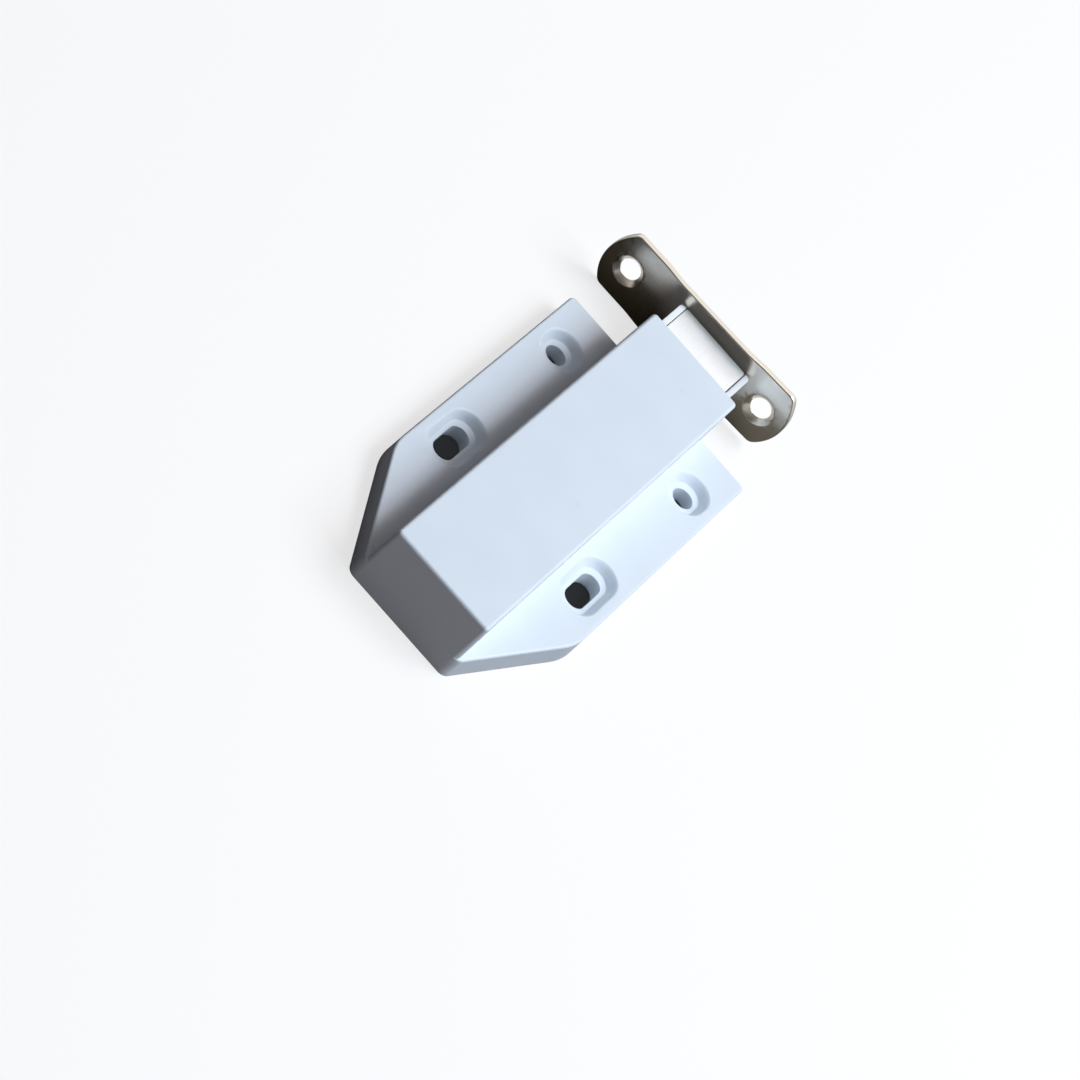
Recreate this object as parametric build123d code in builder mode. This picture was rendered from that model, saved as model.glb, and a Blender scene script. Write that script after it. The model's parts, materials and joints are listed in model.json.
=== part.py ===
import os
from math import cos, hypot, radians, sin, tan, tau

from build123d import *

# Magnetic push catch: a white moulded housing with two screw flanges, a sprung
# plunger that carries a magnet pack, a heart cam with its wire latch pin, and
# the stamped strike plate that hangs on the magnet.
# Millimetres. +Z is up from the mounting face, +Y is the way the plunger points.
# The origin lies on the mounting face, midway between the two round screw holes.

# Housing: block and flanges
block_width = 20.2
block_length = 83.7
block_height = 12.7
block_corner_radius = 0.7
block_edge_radius = 0.6
draft_angle = 1.6
flange_span = 42.5
flange_thickness = 4.4
flange_setback = 2.6
flange_taper_length = 23.3
flange_rear_width = 21.4
flange_front_radius = 1.2
flange_taper_radius = 12.0
flange_rear_radius = 1.8
flange_edge_radius = 0.45

# Screw holes and slots
hole_spacing = 31.0
hole_to_flange_front = 12.1
hole_to_slot = 34.4
screw_hole_diameter = 4.0
slot_length = 8.8
counterbore_depth = 1.7
counterbore_side_margin = 1.8
counterbore_end_margin = 2.7
counterbore_wall_angle = 33.0
rim_chamfer = 0.2

# Walls and clearances of the housing
top_wall = 1.4
rear_wall = 1.8
recess_margin = 1.3
recess_front_margin = 1.8
cut_past = 1.0
pocket_depth = 2.9
pocket_width = 7.8
pocket_wall = 1.4
pocket_rib = 1.2

# Base cover
cover_thickness = 1.6
cover_clearance = 0.1
cover_corner_radius = 0.5
lug_length = 2.8
lug_width = 1.8
lug_height = 2.0
lug_side_gap = 0.45

# Plunger
plunger_width = 16.8
side_clearance = 0.15
top_clearance = 0.2
plunger_reach = 9.0
plunger_length = 48.3
cheek_thickness = 1.1
cheek_radius = 0.9
cheek_chamfer = 0.15
head_depth = 14.7
full_press = 7.5
latch_press = 6.0
stop_gap = 0.05
foot_length = 1.55
recess_run_on = 0.5
recess_gap = 0.3
core_wall = 1.2
core_floor_thickness = 1.0
core_rib = 1.6

# Magnet pack
pole_thickness = 1.5
pole_overlap = 6.0
pole_proud = 0.3
pole_sink = 0.2
plate_corner_radius = 0.4
pack_clearance = 0.15
centre_rib = 1.2
rib_setback = 0.6
rib_clearance = 0.05
magnet_clearance = 0.1
magnet_chamfer = 0.3
rivet_diameter = 2.0
rivet_head_diameter = 3.2
rivet_head_depth = 0.6
rivet_spacing = 8.0
fixed_fit = 0.03

# Springs and their rods
spring_spacing = 11.2
spring_level = 6.6
spring_diameter = 3.8
spring_wire = 0.6
spring_turns = 12
spring_closed_turns = 1
spring_closed_gap = 0.06
spring_turn_steps = 10
spring_wire_sides = 6
spring_bore_diameter = 4.3
spring_bore_depth = 7.1
spring_seat_gap = 0.05
boss_length = 6.2
boss_inner_offset = 2.2
rod_diameter = 1.6
rod_length = 33.0
rod_grip = 5.0
rod_chamfer = 0.3
hole_run_on = 0.2

# Cover screws
screw_shank_diameter = 1.8
screw_head_diameter = 3.2
screw_head_depth = 0.7
screw_head_sink = 0.15
screw_length = 4.9
screw_tip_length = 0.8
screw_tip_radius = 0.2
screw_hole_clearance = 0.1
screw_drive_length = 2.0
screw_drive_width = 0.4
screw_drive_depth = 0.45

# Heart cam and latch pin
pin_wire = 1.0
pin_wire_sides = 12
pin_reach = 28.0
pin_level = 2.9
pin_bend_radius = 0.8
pin_swing = 6.5
pin_pivot_to_front = 62.2
pin_tip_reach = 1.9
pivot_boss_diameter = 3.6
pivot_boss_height = 0.4
pivot_floor = 0.5
pivot_clearance = 0.04
pin_end_gap = 0.1
channel_width = 9.2
channel_headroom = 0.2
channel_front_margin = 3.0
cam_groove_width = 1.3
cam_depth = 1.4
cam_step = 0.3
cam_rise = 0.3
cam_undercut = 0.5
release_swing_share = 0.7
return_swing_share = 0.85
return_bend_setback = 1.5

# Leaf spring under the latch pin
leaf_width = 4.6
leaf_thickness = 0.2
leaf_foot = 5.0
leaf_ramp = 5.0
leaf_tip = 3.0
leaf_to_pivot = 3.5
leaf_gap = 0.1
leaf_bend_radius = 1.5
leaf_tip_rise = 0.1
peg_diameter = 1.0
peg_spacing = 2.6
peg_head_diameter = 1.6
peg_head_height = 0.3
peg_head_gap = 0.02

# Strike plate
strike_length = 41.8
strike_height = 13.0
strike_thickness = 1.1
strike_end_radius = 9.8
strike_corner_radius = 1.6
strike_edge_chamfer = 0.25
strike_hole_diameter = 3.9
strike_sink_diameter = 5.8
strike_hole_spacing = 31.5
strike_offset = -2.6
strike_centre_height = 7.3
strike_tilt = 2.0

# Places worked out from the sizes
flange_front = hole_to_flange_front
block_front = flange_front + flange_setback
block_rear = block_front - block_length
block_growth = block_height * tan(radians(draft_angle))
slot_y = -hole_to_slot
half_hole_spacing = hole_spacing / 2

cavity_width = plunger_width + 2 * side_clearance
cavity_floor = cover_thickness
cavity_ceiling = block_height - top_wall
cavity_rear = block_rear + rear_wall
recess_width = cavity_width + 2 * recess_margin
recess_front = flange_front - recess_front_margin

plunger_front = block_front + plunger_reach
plunger_rear = plunger_front - plunger_length
plunger_top = cavity_ceiling - top_clearance
plunger_bottom = cavity_floor + top_clearance
head_rear = plunger_front - head_depth

pole_width = plunger_width - 2 * cheek_thickness - 2 * pack_clearance
pole_front = plunger_front + pole_proud
pole_rear = head_rear - pole_overlap
upper_pole_top = plunger_top - pole_sink
upper_pole_bottom = upper_pole_top - pole_thickness
lower_pole_bottom = plunger_bottom + pole_sink
lower_pole_top = lower_pole_bottom + pole_thickness
rivet_y = head_rear - pole_overlap / 2

spring_bore_end = plunger_rear + spring_bore_depth
boss_front = cavity_rear + boss_length
half_spring_spacing = spring_spacing / 2
screw_y = cavity_rear + boss_length / 2

pivot_y = block_front - pin_pivot_to_front
channel_top = pin_level + pin_wire / 2 + channel_headroom
cam_start = (0.0, pivot_y + pin_reach)
press_x = -pin_reach * sin(radians(pin_swing))
press_y = pivot_y + pin_reach * cos(radians(pin_swing)) + full_press
latch_y = pivot_y + pin_reach + latch_press
channel_front = press_y + channel_front_margin
half_groove = cam_groove_width / 2


# Housing
with BuildPart() as housing:
    half_span = flange_span / 2
    half_rear = flange_rear_width / 2
    slab_rear = block_rear - block_growth
    taper_start = slab_rear + flange_taper_length
    with BuildSketch(Plane.XY) as slab_plan:
        with BuildLine():
            Polyline(
                (half_rear, slab_rear),
                (half_span, taper_start),
                (half_span, flange_front),
                (-half_span, flange_front),
                (-half_span, taper_start),
                (-half_rear, slab_rear),
                close=True,
            )
        make_face()
        fillet(slab_plan.vertices().group_by(Axis.Y)[-1], radius=flange_front_radius)
        fillet(slab_plan.vertices().group_by(Axis.Y)[1], radius=flange_taper_radius)
        fillet(slab_plan.vertices().group_by(Axis.Y)[0], radius=flange_rear_radius)
    extrude(amount=flange_thickness, taper=draft_angle)
    slab_edges = housing.edges().group_by(Axis.Z)[-1].sort_by(Axis.Y)
    fillet(slab_edges[1:], radius=flange_edge_radius)

    # counterbores round the screw holes in front and the slots behind, their walls leaning outwards
    counterbore_width = screw_hole_diameter + 2 * counterbore_side_margin
    with BuildSketch(Plane.XY.offset(flange_thickness)):
        with Locations((-half_hole_spacing, 0), (half_hole_spacing, 0)):
            SlotOverall(screw_hole_diameter + 2 * counterbore_end_margin, counterbore_width, rotation=90)
        with Locations((-half_hole_spacing, slot_y), (half_hole_spacing, slot_y)):
            SlotOverall(slot_length + 2 * counterbore_end_margin, counterbore_width, rotation=90)
    extrude(amount=-counterbore_depth, taper=counterbore_wall_angle, mode=Mode.SUBTRACT)
    chamfer(housing.edges(Select.LAST).group_by(Axis.Z)[-1], length=rim_chamfer)

    # the block on top of the flange slab
    with BuildSketch(Plane.XY) as block_plan:
        with Locations((0, (block_front + block_rear) / 2)):
            Rectangle(block_width + 2 * block_growth, block_length + 2 * block_growth)
        fillet(block_plan.vertices(), radius=block_corner_radius + block_growth)
    extrude(amount=block_height, taper=draft_angle)
    fillet(housing.edges().group_by(Axis.Z)[-1], radius=block_edge_radius)

    # the plunger's cavity, open at the front as its mouth
    mouth = block_front + block_growth + cut_past
    with BuildSketch(Plane.XY.offset(cavity_floor)):
        with Locations((0, (cavity_rear + mouth) / 2)):
            Rectangle(cavity_width, mouth - cavity_rear)
    extrude(amount=cavity_ceiling - cavity_floor, mode=Mode.SUBTRACT)

    # the recess that the base cover lies in
    with BuildSketch(Plane.XY):
        with Locations((0, (cavity_rear + recess_front) / 2)):
            Rectangle(recess_width, recess_front - cavity_rear)
    extrude(amount=cover_thickness, mode=Mode.SUBTRACT)

    # rear bosses that hold the spring rods and the cover screws
    boss_inner = half_spring_spacing - boss_inner_offset
    boss_x = (boss_inner + cavity_width / 2) / 2
    with BuildSketch(Plane.XY.offset(cavity_floor)):
        with Locations((-boss_x, (cavity_rear + boss_front) / 2), (boss_x, (cavity_rear + boss_front) / 2)):
            Rectangle(cavity_width / 2 - boss_inner, boss_length)
    extrude(amount=cavity_ceiling - cavity_floor)
    with BuildSketch(Plane.XZ.offset(-boss_front)):
        with Locations((-half_spring_spacing, spring_level), (half_spring_spacing, spring_level)):
            Circle(rod_diameter / 2 + fixed_fit)
    extrude(amount=rod_grip + hole_run_on, mode=Mode.SUBTRACT)
    with BuildSketch(Plane.XY.offset(cavity_floor)):
        with Locations((-half_spring_spacing, screw_y), (half_spring_spacing, screw_y)):
            Circle(screw_shank_diameter / 2 + fixed_fit)
    extrude(amount=screw_head_sink + screw_length + hole_run_on - cavity_floor, mode=Mode.SUBTRACT)

    # screw holes and slots through the counterbores
    with BuildSketch(Plane.XY):
        with Locations((-half_hole_spacing, 0), (half_hole_spacing, 0)):
            Circle(screw_hole_diameter / 2)
        with Locations((-half_hole_spacing, slot_y), (half_hole_spacing, slot_y)):
            SlotOverall(slot_length, screw_hole_diameter, rotation=90)
    extrude(amount=flange_thickness, mode=Mode.SUBTRACT)

    # two pockets between hole and slot, and one behind the slot, cored from below
    hole_pad_end = -screw_hole_diameter / 2 - counterbore_end_margin - pocket_wall
    slot_pad_front = slot_y + slot_length / 2 + counterbore_end_margin + pocket_wall
    slot_pad_rear = slot_y - slot_length / 2 - counterbore_end_margin - pocket_wall
    pocket_length = (hole_pad_end - slot_pad_front - pocket_rib) / 2
    with BuildSketch(Plane.XY):
        with Locations((half_hole_spacing, (hole_pad_end + slot_pad_front) / 2)):
            with GridLocations(0, pocket_length + pocket_rib, 1, 2):
                Rectangle(pocket_width, pocket_length)
        mirror(about=Plane.YZ)
    extrude(amount=pocket_depth, mode=Mode.SUBTRACT)
    with BuildSketch(Plane.XY):
        add(slab_plan.sketch)
        offset(amount=-pocket_wall, kind=Kind.INTERSECTION)
        with Locations((half_hole_spacing, (slot_pad_rear + slab_rear) / 2)):
            Rectangle(pocket_width, slot_pad_rear - slab_rear, mode=Mode.INTERSECT)
        mirror(about=Plane.YZ)
    extrude(amount=pocket_depth, mode=Mode.SUBTRACT)


# Base cover
lug_rear = plunger_rear + foot_length + stop_gap
lug_front = lug_rear + lug_length
lug_x = cavity_width / 2 - lug_side_gap - lug_width / 2
leaf_rear = pivot_y + leaf_to_pivot
peg_y = leaf_rear + leaf_foot / 2
peg_top = cover_thickness + leaf_thickness + peg_head_gap
half_cover = cover_thickness / 2
with BuildPart() as base_cover:
    cover_rear = cavity_rear + cover_clearance
    cover_front = recess_front - cover_clearance
    with BuildSketch(Plane.XY) as cover_plan:
        with Locations((0, (cover_rear + cover_front) / 2)):
            Rectangle(recess_width - 2 * cover_clearance, cover_front - cover_rear)
        fillet(cover_plan.vertices(), radius=cover_corner_radius)
    extrude(amount=cover_thickness)
    # stop lugs that catch the plunger's feet
    with BuildSketch(Plane.XY.offset(half_cover)):
        with Locations((-lug_x, (lug_rear + lug_front) / 2), (lug_x, (lug_rear + lug_front) / 2)):
            Rectangle(lug_width, lug_length)
    extrude(amount=half_cover + lug_height)
    # boss and blind hole that the latch pin swings in
    with BuildSketch(Plane.XY.offset(half_cover)):
        with Locations((0, pivot_y)):
            Circle(pivot_boss_diameter / 2)
    extrude(amount=half_cover + pivot_boss_height)
    with BuildSketch(Plane.XY.offset(pivot_floor)):
        with Locations((0, pivot_y)):
            Circle(pin_wire / 2 + pivot_clearance)
    extrude(amount=cover_thickness + pivot_boss_height - pivot_floor, mode=Mode.SUBTRACT)
    # staked pegs that hold the leaf spring's foot
    with BuildSketch(Plane.XY.offset(half_cover)):
        with Locations((-peg_spacing / 2, peg_y), (peg_spacing / 2, peg_y)):
            Circle(peg_diameter / 2)
    extrude(amount=peg_top - half_cover)
    with BuildSketch(Plane.XY.offset(peg_top)):
        with Locations((-peg_spacing / 2, peg_y), (peg_spacing / 2, peg_y)):
            Circle(peg_head_diameter / 2)
    extrude(amount=peg_head_height)
    # countersunk screw holes at the rear
    with Locations(Plane(origin=(0, 0, 0), x_dir=(1, 0, 0), z_dir=(0, 0, -1))):
        with Locations((-half_spring_spacing, -screw_y), (half_spring_spacing, -screw_y)):
            CounterSinkHole(
                screw_shank_diameter / 2 + screw_hole_clearance,
                screw_head_diameter / 2 + screw_head_sink + fixed_fit,
                depth=cover_thickness,
                counter_sink_angle=90,
            )


# Plunger
def cam_leg(start, end, start_depth, end_depth):
    """The place, direction, length and two depths of one straight leg of the cam groove."""
    length = hypot(end[0] - start[0], end[1] - start[1])
    along = ((end[0] - start[0]) / length, (end[1] - start[1]) / length)
    upright = Plane(
        origin=(start[0], start[1], channel_top),
        x_dir=(along[0], along[1], 0),
        z_dir=(along[1], -along[0], 0),
    )
    return upright, length, start_depth, end_depth


with BuildPart() as plunger:
    with BuildSketch(Plane.XY.offset(plunger_bottom)):
        with Locations((0, (plunger_rear + plunger_front) / 2)):
            Rectangle(plunger_width, plunger_length)
    extrude(amount=plunger_top - plunger_bottom)
    # the fork that holds the magnet pack, with a rib between the two magnets
    fork_width = plunger_width - 2 * cheek_thickness
    with BuildSketch(Plane.XY.offset(plunger_bottom)):
        with Locations((0, (head_rear + plunger_front + cut_past) / 2)):
            Rectangle(fork_width, plunger_front + cut_past - head_rear)
    extrude(amount=plunger_top - plunger_bottom, mode=Mode.SUBTRACT)
    cheek_ends = plunger.faces().group_by(Axis.Y)[-1]
    outer_corners = cheek_ends.edges().filter_by(Axis.Z).sort_by(Axis.X)
    fillet([outer_corners[0], outer_corners[-1]], radius=cheek_radius)
    rib_front = plunger_front - rib_setback
    rib_bottom = lower_pole_top + rib_clearance
    with BuildSketch(Plane.XY.offset(rib_bottom)):
        with Locations((0, (rivet_y + rib_front) / 2)):
            Rectangle(centre_rib, rib_front - rivet_y)
    extrude(amount=upper_pole_bottom - rib_clearance - rib_bottom)
    # seats of the two pole plates, above and below the web
    seat_depth = pole_thickness + pole_sink
    for seat_bottom in (plunger_bottom, upper_pole_bottom):
        with BuildSketch(Plane.XY.offset(seat_bottom)):
            with Locations((0, (pole_rear - pack_clearance + head_rear) / 2)):
                Rectangle(fork_width, pole_overlap + pack_clearance)
        extrude(amount=seat_depth, mode=Mode.SUBTRACT)
    with BuildSketch(Plane.XY.offset(plunger_bottom)):
        with Locations((-rivet_spacing / 2, rivet_y), (rivet_spacing / 2, rivet_y)):
            Circle(rivet_diameter / 2 + fixed_fit)
    extrude(amount=plunger_top - plunger_bottom, mode=Mode.SUBTRACT)
    # blind bores for the springs
    with BuildSketch(Plane.XZ.offset(-plunger_rear)):
        with Locations((-half_spring_spacing, spring_level), (half_spring_spacing, spring_level)):
            Circle(spring_bore_diameter / 2)
    extrude(amount=-spring_bore_depth, mode=Mode.SUBTRACT)
    # side recesses that slide along the cover's stop lugs
    recess_rear = plunger_rear + foot_length
    lug_run_front = lug_front + full_press + recess_run_on
    recess_inner = lug_x - lug_width / 2 - recess_gap
    recess_depth = plunger_width / 2 + cut_past - recess_inner
    recess_x = recess_inner + recess_depth / 2
    with BuildSketch(Plane.XY.offset(plunger_bottom)):
        recess_y = (recess_rear + lug_run_front) / 2
        with Locations((-recess_x, recess_y), (recess_x, recess_y)):
            Rectangle(recess_depth, lug_run_front - recess_rear)
    extrude(amount=lug_height, mode=Mode.SUBTRACT)
    # channel for the latch pin
    with BuildSketch(Plane.XY.offset(plunger_bottom)):
        with Locations((0, (plunger_rear + channel_front) / 2)):
            Rectangle(channel_width, channel_front - plunger_rear)
    extrude(amount=channel_top - plunger_bottom, mode=Mode.SUBTRACT)
    # heart cam in the channel's roof: out along the slope, back over the notch
    press_end = (press_x, press_y)
    notch = (0.0, latch_y)
    release_end = (-release_swing_share * press_x, press_y)
    return_bend = (-return_swing_share * press_x, latch_y - return_bend_setback)
    settle_depth = cam_depth + cam_step
    release_depth = settle_depth + cam_step
    cam_legs = [
        cam_leg(cam_start, press_end, cam_depth, cam_depth),
        cam_leg(press_end, notch, settle_depth, settle_depth),
        cam_leg(notch, release_end, release_depth, release_depth),
        cam_leg(release_end, return_bend, release_depth, settle_depth),
        cam_leg(return_bend, cam_start, settle_depth, cam_depth - cam_rise),
    ]
    for upright, leg_length, start_depth, end_depth in cam_legs:
        with BuildSketch(upright):
            with BuildLine():
                Polyline(
                    (0, -cam_undercut),
                    (leg_length, -cam_undercut),
                    (leg_length, end_depth),
                    (0, start_depth),
                    close=True,
                )
            make_face()
        extrude(amount=half_groove, both=True, mode=Mode.SUBTRACT)
    cam_pits = [
        (cam_start, cam_depth),
        (press_end, settle_depth),
        (notch, release_depth),
        (release_end, release_depth),
        (return_bend, settle_depth),
    ]
    for place, pit_depth in cam_pits:
        with BuildSketch(Plane.XY.offset(channel_top - cam_undercut)):
            with Locations(place):
                Circle(half_groove)
        extrude(amount=pit_depth + cam_undercut, mode=Mode.SUBTRACT)
    # pockets that core out the body above the cam
    core_floor = channel_top + release_depth + core_floor_thickness
    core_rear = spring_bore_end + core_wall
    core_front = pole_rear - pack_clearance - core_wall
    core_width = (plunger_width - core_rib) / 2 - core_wall
    core_x = (core_rib + core_width) / 2
    with BuildSketch(Plane.XY.offset(core_floor)):
        with Locations((-core_x, (core_rear + core_front) / 2), (core_x, (core_rear + core_front) / 2)):
            Rectangle(core_width, core_front - core_rear)
    extrude(amount=plunger_top - core_floor, mode=Mode.SUBTRACT)
    # the cheeks' top edges are broken
    cheek_tops = plunger.faces().filter_by(Axis.Z).group_by(Axis.Z)[-1]
    cheek_edges = cheek_tops.edges().filter_by(lambda edge: edge.center().Y > head_rear)
    chamfer(cheek_edges.filter_by(Axis.Y), length=cheek_chamfer)


# Pole plates
def make_pole_plate(bottom, sink_from_top):
    """One steel plate of the magnet pack, with two countersunk rivet holes."""
    with BuildPart() as plate:
        with BuildSketch(Plane.XY.offset(bottom)) as plate_plan:
            with Locations((0, (pole_rear + pole_front) / 2)):
                Rectangle(pole_width, pole_front - pole_rear)
            fillet(plate_plan.vertices(), radius=plate_corner_radius)
        extrude(amount=pole_thickness)
        sink_plane = Plane.XY.offset(bottom + pole_thickness)
        sink_y = rivet_y
        if not sink_from_top:
            sink_plane = Plane(origin=(0, 0, bottom), x_dir=(1, 0, 0), z_dir=(0, 0, -1))
            sink_y = -rivet_y
        with Locations(sink_plane):
            with Locations((-rivet_spacing / 2, sink_y), (rivet_spacing / 2, sink_y)):
                CounterSinkHole(
                    rivet_diameter / 2 + fixed_fit,
                    rivet_head_diameter / 2 + fixed_fit,
                    depth=pole_thickness,
                    counter_sink_angle=90,
                )
    return plate


upper_pole_plate = make_pole_plate(upper_pole_bottom, True)
lower_pole_plate = make_pole_plate(lower_pole_bottom, False)


# Magnets
def make_magnet(side):
    """One block magnet, between the centre rib and a cheek."""
    inner = centre_rib / 2 + magnet_clearance
    outer = pole_width / 2
    rear = head_rear + magnet_clearance
    front = plunger_front - magnet_clearance
    with BuildPart() as magnet:
        with BuildSketch(Plane.XY.offset(lower_pole_top)):
            with Locations((side * (inner + outer) / 2, (rear + front) / 2)):
                Rectangle(outer - inner, front - rear)
        extrude(amount=upper_pole_bottom - lower_pole_top)
        chamfer(magnet.edges().filter_by(Axis.Z), length=magnet_chamfer)
    return magnet


magnet_left = make_magnet(-1)
magnet_right = make_magnet(1)


# Rivets through the pole plates and the plunger's web
def make_rivet(side):
    """One flush rivet, its two heads in the plates' countersinks."""
    shank = rivet_diameter / 2
    head = rivet_head_diameter / 2
    place = (side * rivet_spacing / 2, rivet_y, 0)
    with BuildPart() as rivet:
        with BuildSketch(Plane(origin=place, z_dir=(0, -1, 0), x_dir=(1, 0, 0))):
            with BuildLine():
                Polyline(
                    (0, lower_pole_bottom),
                    (head, lower_pole_bottom),
                    (shank, lower_pole_bottom + rivet_head_depth),
                    (shank, upper_pole_top - rivet_head_depth),
                    (head, upper_pole_top),
                    (0, upper_pole_top),
                    close=True,
                )
            make_face()
        revolve(axis=Axis(place, (0, 0, 1)))
    return rivet


plate_rivet_left = make_rivet(-1)
plate_rivet_right = make_rivet(1)


# Springs and rods
def coil_rise(turn, length):
    """How far along its axis a coil has come after some turns, its end turns lying closed."""
    closed_pitch = spring_wire + spring_closed_gap
    open_turns = spring_turns - 2 * spring_closed_turns
    open_pitch = (length - 2 * spring_closed_turns * closed_pitch) / open_turns
    closed = min(turn, spring_closed_turns) + max(turn - spring_closed_turns - open_turns, 0)
    return closed * closed_pitch + (turn - closed) * open_pitch


def make_spring(side):
    """One compression spring, from the rear boss to the end of its bore."""
    low = boss_front + spring_wire / 2 + spring_seat_gap
    high = spring_bore_end - spring_wire / 2 - spring_seat_gap
    coil_radius = (spring_diameter - spring_wire) / 2
    points = []
    for step in range(spring_turns * spring_turn_steps + 1):
        turn = step / spring_turn_steps
        x = side * half_spring_spacing + coil_radius * cos(tau * turn)
        z = spring_level + coil_radius * sin(tau * turn)
        points.append((x, low + coil_rise(turn, high - low), z))
    with BuildPart() as spring:
        with BuildLine():
            coil = Polyline(*points)
        with BuildSketch(Plane(origin=coil @ 0, z_dir=coil % 0)):
            RegularPolygon(spring_wire / 2, spring_wire_sides)
        sweep(path=coil, transition=Transition.RIGHT)
    return spring


def make_rod(side):
    """The rod that keeps one spring straight, pressed into its boss."""
    with BuildPart() as rod:
        with BuildSketch(Plane.XZ.offset(rod_grip - boss_front)):
            with Locations((side * half_spring_spacing, spring_level)):
                Circle(rod_diameter / 2)
        extrude(amount=-rod_length)
        chamfer(rod.edges().group_by(Axis.Y)[-1], length=rod_chamfer)
    return rod


spring_left = make_spring(-1)
spring_right = make_spring(1)
spring_rod_left = make_rod(-1)
spring_rod_right = make_rod(1)


# Cover screws
def make_cover_screw(side):
    """One countersunk self-tapping screw, from below into the rear boss."""
    shank = screw_shank_diameter / 2
    head = screw_head_diameter / 2
    top = screw_head_sink + screw_length
    with BuildPart() as screw:
        place = (side * half_spring_spacing, screw_y, 0)
        with BuildSketch(Plane(origin=place, z_dir=(0, -1, 0), x_dir=(1, 0, 0))):
            with BuildLine():
                Polyline(
                    (0, screw_head_sink),
                    (head, screw_head_sink),
                    (shank, screw_head_sink + screw_head_depth),
                    (shank, top - screw_tip_length),
                    (screw_tip_radius, top),
                    (0, top),
                    close=True,
                )
            make_face()
        revolve(axis=Axis(place, (0, 0, 1)))
        with BuildSketch(Plane.XY.offset(screw_head_sink)):
            with Locations(place[:2]):
                Rectangle(screw_drive_length, screw_drive_width)
                Rectangle(screw_drive_width, screw_drive_length)
        extrude(amount=screw_drive_depth, mode=Mode.SUBTRACT)
    return screw


cover_screw_left = make_cover_screw(-1)
cover_screw_right = make_cover_screw(1)


# Latch pin
pin_foot = pivot_floor + pin_end_gap
with BuildPart() as latch_pin:
    with BuildLine() as pin_path:
        FilletPolyline(
            (0, pivot_y, pin_foot),
            (0, pivot_y, pin_level),
            (0, pivot_y + pin_reach, pin_level),
            (0, pivot_y + pin_reach, pin_level + pin_tip_reach),
            radius=pin_bend_radius,
        )
    with BuildSketch(Plane.XY.offset(pin_foot)):
        with Locations((0, pivot_y)):
            RegularPolygon(pin_wire / 2, pin_wire_sides)
    sweep(path=pin_path.line)


# Leaf spring
leaf_top = pin_level - pin_wire / 2 - leaf_gap
with BuildPart() as leaf_spring:
    foot_end = leaf_rear + leaf_foot
    ramp_end = foot_end + leaf_ramp
    foot_level = cover_thickness + leaf_thickness / 2
    crest_level = leaf_top - leaf_thickness / 2
    with BuildSketch(Plane.YZ):
        with BuildLine():
            FilletPolyline(
                (leaf_rear, foot_level),
                (foot_end, foot_level),
                (ramp_end, crest_level),
                (ramp_end + leaf_tip, foot_level + leaf_tip_rise),
                radius=leaf_bend_radius,
            )
            offset(amount=leaf_thickness / 2)
        make_face()
    extrude(amount=leaf_width / 2, both=True)
    with BuildSketch(Plane.XY):
        with Locations((-peg_spacing / 2, peg_y), (peg_spacing / 2, peg_y)):
            Circle(peg_diameter / 2 + fixed_fit)
    extrude(amount=pin_level, mode=Mode.SUBTRACT)


# Strike plate, hanging on the magnet off centre and a little askew
tilt = radians(strike_tilt)
strike_face = Plane(
    origin=(strike_offset, pole_front, strike_centre_height),
    x_dir=(cos(tilt), 0, sin(tilt)),
    z_dir=(0, -1, 0),
)
half_height = strike_height / 2
end_sagitta = strike_end_radius - (strike_end_radius**2 - half_height**2) ** 0.5
corner_x = strike_length / 2 - end_sagitta
with BuildPart() as strike_plate:
    with BuildSketch(strike_face) as strike_outline:
        with BuildLine():
            Line((-corner_x, half_height), (corner_x, half_height))
            ThreePointArc((corner_x, half_height), (strike_length / 2, 0), (corner_x, -half_height))
            Line((corner_x, -half_height), (-corner_x, -half_height))
            ThreePointArc((-corner_x, -half_height), (-strike_length / 2, 0), (-corner_x, half_height))
        make_face()
        fillet(strike_outline.vertices(), radius=strike_corner_radius)
    extrude(amount=-strike_thickness)
    chamfer(strike_plate.edges().group_by(Axis.Y)[0], length=strike_edge_chamfer)
    with Locations(strike_face):
        with Locations((-strike_hole_spacing / 2, 0), (strike_hole_spacing / 2, 0)):
            CounterSinkHole(
                strike_hole_diameter / 2,
                strike_sink_diameter / 2,
                depth=strike_thickness,
                counter_sink_angle=90,
            )


os.makedirs("parts", exist_ok=True)
pieces = {
    "housing": housing,
    "base_cover": base_cover,
    "plunger": plunger,
    "upper_pole_plate": upper_pole_plate,
    "lower_pole_plate": lower_pole_plate,
    "magnet_left": magnet_left,
    "magnet_right": magnet_right,
    "plate_rivet_left": plate_rivet_left,
    "plate_rivet_right": plate_rivet_right,
    "spring_left": spring_left,
    "spring_right": spring_right,
    "spring_rod_left": spring_rod_left,
    "spring_rod_right": spring_rod_right,
    "cover_screw_left": cover_screw_left,
    "cover_screw_right": cover_screw_right,
    "latch_pin": latch_pin,
    "leaf_spring": leaf_spring,
    "strike_plate": strike_plate,
}
for name, piece in pieces.items():
    piece.part.label = name
    export_step(piece.part, f"parts/{name}.step")
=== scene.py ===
import json
from math import atan2, cos, pi, radians, sin, sqrt, tau

import bmesh
import bpy
from mathutils import Matrix, Vector


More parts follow.
